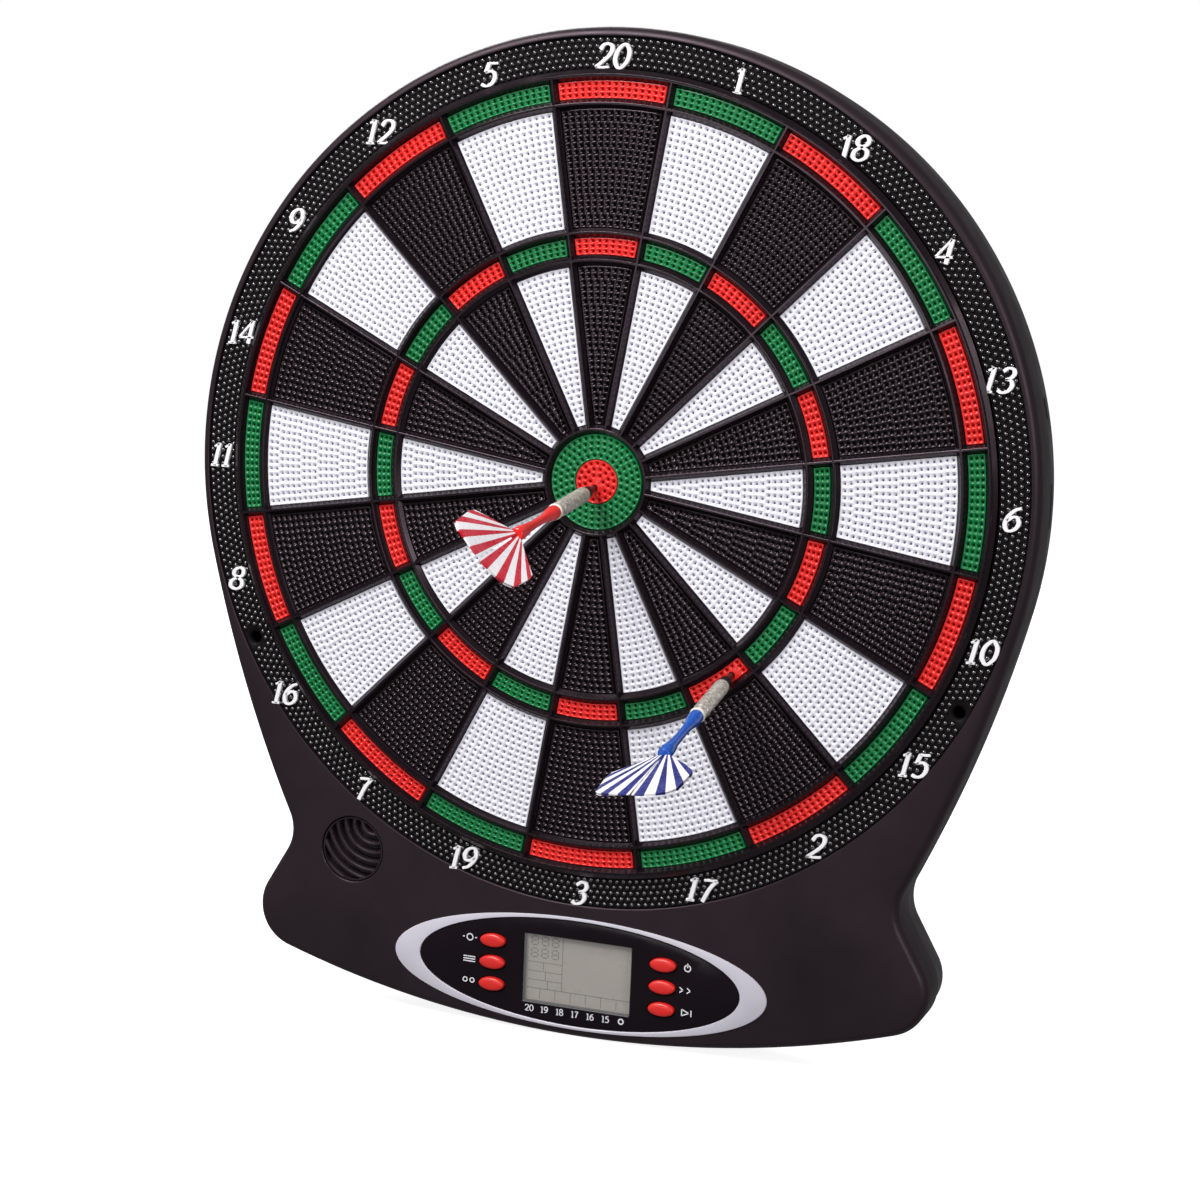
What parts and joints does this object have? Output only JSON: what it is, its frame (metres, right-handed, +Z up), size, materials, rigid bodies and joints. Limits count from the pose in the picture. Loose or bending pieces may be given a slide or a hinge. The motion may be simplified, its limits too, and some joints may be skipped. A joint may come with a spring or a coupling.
{
  "type": "electronic dartboard",
  "caption": "Wall-hung electronic soft-tip dartboard with sprung perforated target segments, a console with display and buttons, and darts standing in it.",
  "frame": {"origin": "on the wall plane, straight behind the centre of the bull", "axes": "+Z up, the target faces -Y, +Y into the wall, +X to the player's right"},
  "size_m": [0.382, 0.1623, 0.4385],
  "materials": {
    "housing": "fine matt moulding grain",
    "jet": "satin",
    "black_segment": "glossy, perforated",
    "white_segment": "satin, perforated",
    "red_segment": "satin, perforated",
    "green_segment": "satin, perforated",
    "silicone": "matt",
    "membrane": "satin film",
    "hardboard": "pressed fibre",
    "trim": "silver paint",
    "console_black": "gloss",
    "window": "clear",
    "display": "liquid crystal grey",
    "board": "solder mask",
    "steel": "plated",
    "lead": "insulated wire",
    "cell": "foil wrap",
    "button": "soft satin",
    "dart_tip": "nylon",
    "nickel": "nickel plated, knurled",
    "red_shaft": "gloss",
    "blue_shaft": "gloss",
    "red_flight": "printed film",
    "blue_flight": "printed film"
  },
  "bodies": {
    "root": {"front_housing": "housing", "rear_cover": "housing", "catch_ring": "jet", "spider": "jet", "silicone_pad": "silicone", "switch_membrane": "membrane", "membrane_tail": "membrane", "backing_plate": "hardboard", "console_trim": "trim", "console_panel": "console_black", "display_window": "window", "display_glass": "display", "display_frame": "jet", "keypad_mat": "silicone", "main_board": "board", "speaker": "steel", "speaker_leads": "lead", "battery_cells": "cell", "battery_contacts": "steel", "housing_screws": "steel", "plate_screws": "steel", "board_screws": "steel"},
    "outer_bull": {"outer_bull": "green_segment"},
    "inner_bull": {"inner_bull": "red_segment"},
    "sector_20": {"sector_20": "black_segment"},
    "sector_01": {"sector_01": "white_segment"},
    "sector_18": {"sector_18": "black_segment"},
    "sector_04": {"sector_04": "white_segment"},
    "sector_13": {"sector_13": "black_segment"},
    "sector_06": {"sector_06": "white_segment"},
    "sector_10": {"sector_10": "black_segment"},
    "sector_15": {"sector_15": "white_segment"},
    "sector_02": {"sector_02": "black_segment"},
    "sector_17": {"sector_17": "white_segment"},
    "sector_03": {"sector_03": "black_segment"},
    "sector_19": {"sector_19": "white_segment"},
    "sector_07": {"sector_07": "black_segment"},
    "sector_16": {"sector_16": "white_segment"},
    "sector_08": {"sector_08": "black_segment"},
    "sector_11": {"sector_11": "white_segment"},
    "sector_14": {"sector_14": "black_segment"},
    "sector_09": {"sector_09": "white_segment"},
    "sector_12": {"sector_12": "black_segment"},
    "sector_05": {"sector_05": "white_segment"},
    "game_button": {"game_button": "button"},
    "option_button": {"option_button": "button"},
    "player_button": {"player_button": "button"},
    "power_button": {"power_button": "button"},
    "double_button": {"double_button": "button"},
    "start_button": {"start_button": "button"},
    "battery_door": {"battery_door": "housing"},
    "red_dart": {"red_dart_tip": "dart_tip", "red_dart_barrel": "nickel", "red_dart_shaft": "red_shaft", "red_dart_flight": "red_flight"},
    "blue_dart": {"blue_dart_tip": "dart_tip", "blue_dart_barrel": "nickel", "blue_dart_shaft": "blue_shaft", "blue_dart_flight": "blue_flight"}
  },
  "joints": [
    {"name": "outer_bull_press", "type": "slide", "parent": "root", "child": "outer_bull", "axis": [0, 1, 0], "range_m": [0, 0.0012], "stiffness_N_per_m": 600},
    {"name": "inner_bull_press", "type": "slide", "parent": "root", "child": "inner_bull", "axis": [0, 1, 0], "range_m": [0, 0.0012], "stiffness_N_per_m": 400},
    {"name": "sector_20_press", "type": "slide", "parent": "root", "child": "sector_20", "axis": [0, 1, 0], "range_m": [0, 0.0012], "stiffness_N_per_m": 1200},
    {"name": "sector_01_press", "type": "slide", "parent": "root", "child": "sector_01", "axis": [0, 1, 0], "range_m": [0, 0.0012], "stiffness_N_per_m": 1200},
    {"name": "sector_18_press", "type": "slide", "parent": "root", "child": "sector_18", "axis": [0, 1, 0], "range_m": [0, 0.0012], "stiffness_N_per_m": 1200},
    {"name": "sector_04_press", "type": "slide", "parent": "root", "child": "sector_04", "axis": [0, 1, 0], "range_m": [0, 0.0012], "stiffness_N_per_m": 1200},
    {"name": "sector_13_press", "type": "slide", "parent": "root", "child": "sector_13", "axis": [0, 1, 0], "range_m": [0, 0.0012], "stiffness_N_per_m": 1200},
    {"name": "sector_06_press", "type": "slide", "parent": "root", "child": "sector_06", "axis": [0, 1, 0], "range_m": [0, 0.0012], "stiffness_N_per_m": 1200},
    {"name": "sector_10_press", "type": "slide", "parent": "root", "child": "sector_10", "axis": [0, 1, 0], "range_m": [0, 0.0012], "stiffness_N_per_m": 1200},
    {"name": "sector_15_press", "type": "slide", "parent": "root", "child": "sector_15", "axis": [0, 1, 0], "range_m": [0, 0.0012], "stiffness_N_per_m": 1200},
    {"name": "sector_02_press", "type": "slide", "parent": "root", "child": "sector_02", "axis": [0, 1, 0], "range_m": [0, 0.0012], "stiffness_N_per_m": 1200},
    {"name": "sector_17_press", "type": "slide", "parent": "root", "child": "sector_17", "axis": [0, 1, 0], "range_m": [0, 0.0012], "stiffness_N_per_m": 1200},
    {"name": "sector_03_press", "type": "slide", "parent": "root", "child": "sector_03", "axis": [0, 1, 0], "range_m": [0, 0.0012], "stiffness_N_per_m": 1200},
    {"name": "sector_19_press", "type": "slide", "parent": "root", "child": "sector_19", "axis": [0, 1, 0], "range_m": [0, 0.0012], "stiffness_N_per_m": 1200},
    {"name": "sector_07_press", "type": "slide", "parent": "root", "child": "sector_07", "axis": [0, 1, 0], "range_m": [0, 0.0012], "stiffness_N_per_m": 1200},
    {"name": "sector_16_press", "type": "slide", "parent": "root", "child": "sector_16", "axis": [0, 1, 0], "range_m": [0, 0.0012], "stiffness_N_per_m": 1200},
    {"name": "sector_08_press", "type": "slide", "parent": "root", "child": "sector_08", "axis": [0, 1, 0], "range_m": [0, 0.0012], "stiffness_N_per_m": 1200},
    {"name": "sector_11_press", "type": "slide", "parent": "root", "child": "sector_11", "axis": [0, 1, 0], "range_m": [0, 0.0012], "stiffness_N_per_m": 1200},
    {"name": "sector_14_press", "type": "slide", "parent": "root", "child": "sector_14", "axis": [0, 1, 0], "range_m": [0, 0.0012], "stiffness_N_per_m": 1200},
    {"name": "sector_09_press", "type": "slide", "parent": "root", "child": "sector_09", "axis": [0, 1, 0], "range_m": [0, 0.0012], "stiffness_N_per_m": 1200},
    {"name": "sector_12_press", "type": "slide", "parent": "root", "child": "sector_12", "axis": [0, 1, 0], "range_m": [0, 0.0012], "stiffness_N_per_m": 1200},
    {"name": "sector_05_press", "type": "slide", "parent": "root", "child": "sector_05", "axis": [0, 1, 0], "range_m": [0, 0.0012], "stiffness_N_per_m": 1200},
    {"name": "game_button_press", "type": "slide", "parent": "root", "child": "game_button", "axis": [0, 1, 0], "range_m": [0, 0.0012], "stiffness_N_per_m": 250},
    {"name": "option_button_press", "type": "slide", "parent": "root", "child": "option_button", "axis": [0, 1, 0], "range_m": [0, 0.0012], "stiffness_N_per_m": 250},
    {"name": "player_button_press", "type": "slide", "parent": "root", "child": "player_button", "axis": [0, 1, 0], "range_m": [0, 0.0012], "stiffness_N_per_m": 250},
    {"name": "power_button_press", "type": "slide", "parent": "root", "child": "power_button", "axis": [0, 1, 0], "range_m": [0, 0.0012], "stiffness_N_per_m": 250},
    {"name": "double_button_press", "type": "slide", "parent": "root", "child": "double_button", "axis": [0, 1, 0], "range_m": [0, 0.0012], "stiffness_N_per_m": 250},
    {"name": "start_button_press", "type": "slide", "parent": "root", "child": "start_button", "axis": [0, 1, 0], "range_m": [0, 0.0012], "stiffness_N_per_m": 250},
    {"name": "battery_door_hinge", "type": "hinge", "parent": "root", "child": "battery_door", "pos_m": [0, -0.0012, -0.2326], "axis": [-1, 0, 0], "range_deg": [0, 95]},
    {"name": "red_dart_pull", "type": "slide", "parent": "inner_bull", "child": "red_dart", "axis": [0, -0.9925, -0.1219], "range_m": [0, 0.04]},
    {"name": "blue_dart_pull", "type": "slide", "parent": "sector_02", "child": "blue_dart", "axis": [0, -0.9781, -0.2079], "range_m": [0, 0.04]}
  ]
}
